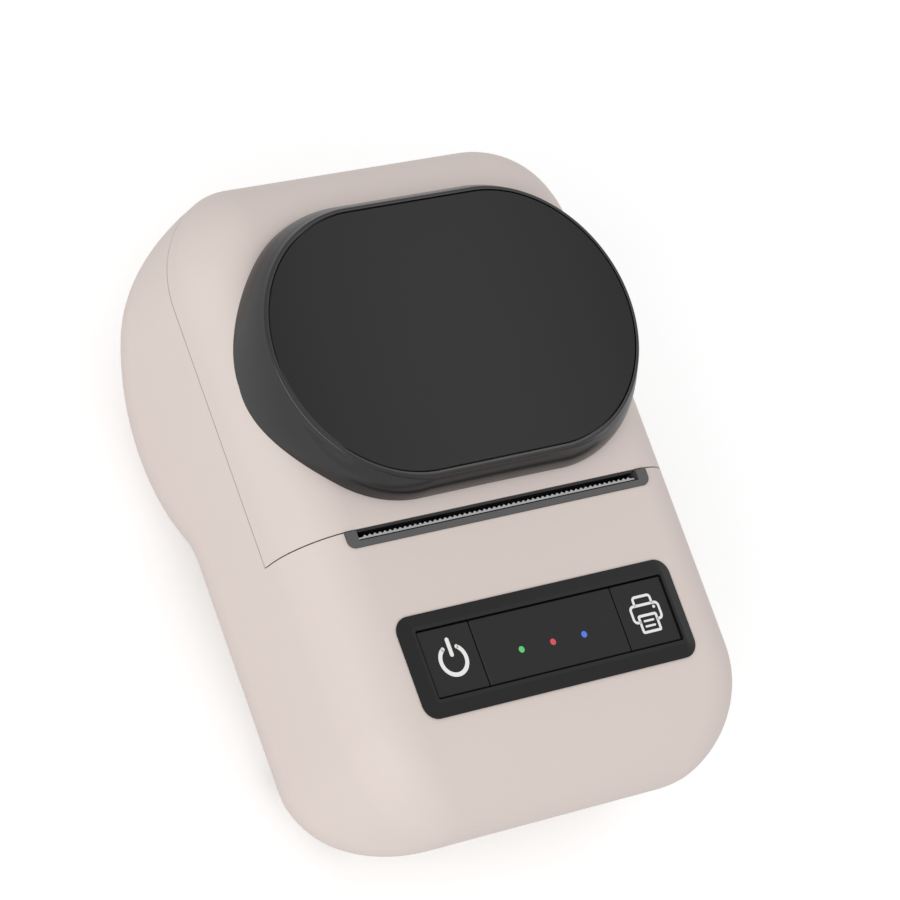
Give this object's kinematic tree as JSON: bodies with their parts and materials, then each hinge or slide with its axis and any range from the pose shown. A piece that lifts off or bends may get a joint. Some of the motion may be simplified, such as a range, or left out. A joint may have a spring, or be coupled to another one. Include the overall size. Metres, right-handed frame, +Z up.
{
  "type": "thermal label maker",
  "caption": "Compact thermal label maker with a hinged rear cover over the roll chamber, a label slot with a tear bar and a key panel.",
  "frame": {"origin": "centre of the footprint, on the table under the rubber feet", "axes": "+X to the right of someone facing the label slot's front, +Y from the front nose to the hinged rear, +Z up"},
  "size_m": [0.085, 0.1248, 0.0586],
  "materials": {
    "shell": "matte",
    "dome": "gloss",
    "dome_top": "satin",
    "panel": "satin",
    "bezel": "satin",
    "black_plastic": "matte",
    "guide": "satin",
    "gear_plastic": "satin",
    "roller_rubber": "matte",
    "rubber": "matte",
    "foam": "matte",
    "steel": "satin",
    "aluminium": "satin",
    "brass": "satin",
    "ceramic": "satin",
    "board": "satin",
    "cell": "satin",
    "light_green": "gloss",
    "light_red": "gloss",
    "light_blue": "gloss"
  },
  "bodies": {
    "base": {"bottom_shell": "shell", "top_shell": "shell", "stepper_motor": "steel", "gear_plate": "steel", "gear_posts": "steel", "pressure_spring": "steel", "mech_frame": "steel", "slot_bezel": "bezel", "tear_bar": "steel", "control_panel": "panel", "status_plate": "panel", "light_green": "light_green", "light_red": "light_red", "light_blue": "light_blue", "led_chips": "ceramic", "key_board": "board", "tact_switches": "black_plastic", "paper_guide": "black_plastic", "gap_sensor": "black_plastic", "chamber_liner": "black_plastic", "main_board": "board", "board_chips": "black_plastic", "usb_socket": "steel", "battery": "cell", "battery_pad": "foam", "rubber_feet": "rubber", "case_screws": "steel", "board_screws": "steel", "frame_screws": "steel", "plate_screws": "steel"},
    "cover": {"cover_frame": "shell", "dome_shell": "dome", "dome_plate": "dome_top", "hinge_pins": "steel", "platen_carrier": "black_plastic", "platen_bushes": "black_plastic", "slot_lip": "bezel"},
    "platen": {"platen_roller": "roller_rubber", "platen_shaft": "steel", "platen_gear": "gear_plastic"},
    "idler_a": {"idler_gear_a": "gear_plastic"},
    "idler_b": {"idler_gear_b": "gear_plastic"},
    "rotor": {"motor_pinion": "brass", "motor_shaft": "steel"},
    "head": {"print_head": "ceramic", "head_sink": "aluminium", "head_pin": "steel"},
    "key_power": {"power_key": "panel"},
    "key_feed": {"feed_key": "panel"},
    "left_guide": {"guide_left": "guide"},
    "right_guide": {"guide_right": "guide"},
    "guide_wheel": {"guide_pinion": "gear_plastic"}
  },
  "joints": [
    {"name": "cover_hinge", "type": "hinge", "parent": "base", "child": "cover", "pos_m": [0, 0.06006, 0.03964], "axis": [-1, 0, 0], "range_deg": [0, 85]},
    {"name": "platen_spin", "type": "hinge", "parent": "cover", "child": "platen", "pos_m": [0, -0.00393, 0.03565], "axis": [1, 0, 0], "continuous": true},
    {"name": "idler_a_spin", "type": "hinge", "parent": "base", "child": "idler_a", "pos_m": [0, -0.00276, 0.02415], "axis": [1, 0, 0], "continuous": true},
    {"name": "idler_b_spin", "type": "hinge", "parent": "base", "child": "idler_b", "pos_m": [0, -0.01581, 0.02046], "axis": [1, 0, 0], "continuous": true},
    {"name": "motor_spin", "type": "hinge", "parent": "base", "child": "rotor", "pos_m": [0, -0.02487, 0.02034], "axis": [1, 0, 0], "continuous": true},
    {"name": "head_pivot", "type": "hinge", "parent": "base", "child": "head", "pos_m": [0, -0.0107, 0.02642], "axis": [1, 0, 0], "range_deg": [0, 1.2], "stiffness_Nm_per_rad": 0.5, "springref_deg": -5.73},
    {"name": "power_key_press", "type": "slide", "parent": "base", "child": "key_power", "axis": [0, 0.1011, -0.9949], "range_m": [0, 0.0005], "stiffness_N_per_m": 800, "springref_m": -0.0005},
    {"name": "feed_key_press", "type": "slide", "parent": "base", "child": "key_feed", "axis": [0, 0.1011, -0.9949], "range_m": [0, 0.0005], "stiffness_N_per_m": 800, "springref_m": -0.0005},
    {"name": "guide_left_slide", "type": "slide", "parent": "base", "child": "left_guide", "axis": [1, 0, 0], "range_m": [0, 0.015]},
    {"name": "guide_right_slide", "type": "slide", "parent": "base", "child": "right_guide", "axis": [-1, 0, 0], "range_m": [0, 0.015]},
    {"name": "guide_pinion_spin", "type": "hinge", "parent": "base", "child": "guide_wheel", "pos_m": [0, 0.02831, 0.00656], "axis": [0, -0.1011, 0.9949], "range_deg": [0, 216]}
  ],
  "couplings": [
    {"joint": "idler_a_spin", "follows": "platen_spin", "ratio": -0.53333},
    {"joint": "idler_b_spin", "follows": "platen_spin", "ratio": 0.66667},
    {"joint": "motor_spin", "follows": "platen_spin", "ratio": -1.3333},
    {"joint": "guide_right_slide", "follows": "guide_left_slide", "ratio": 1},
    {"joint": "guide_pinion_spin", "follows": "guide_left_slide", "rad_per_m": 250}
  ]
}
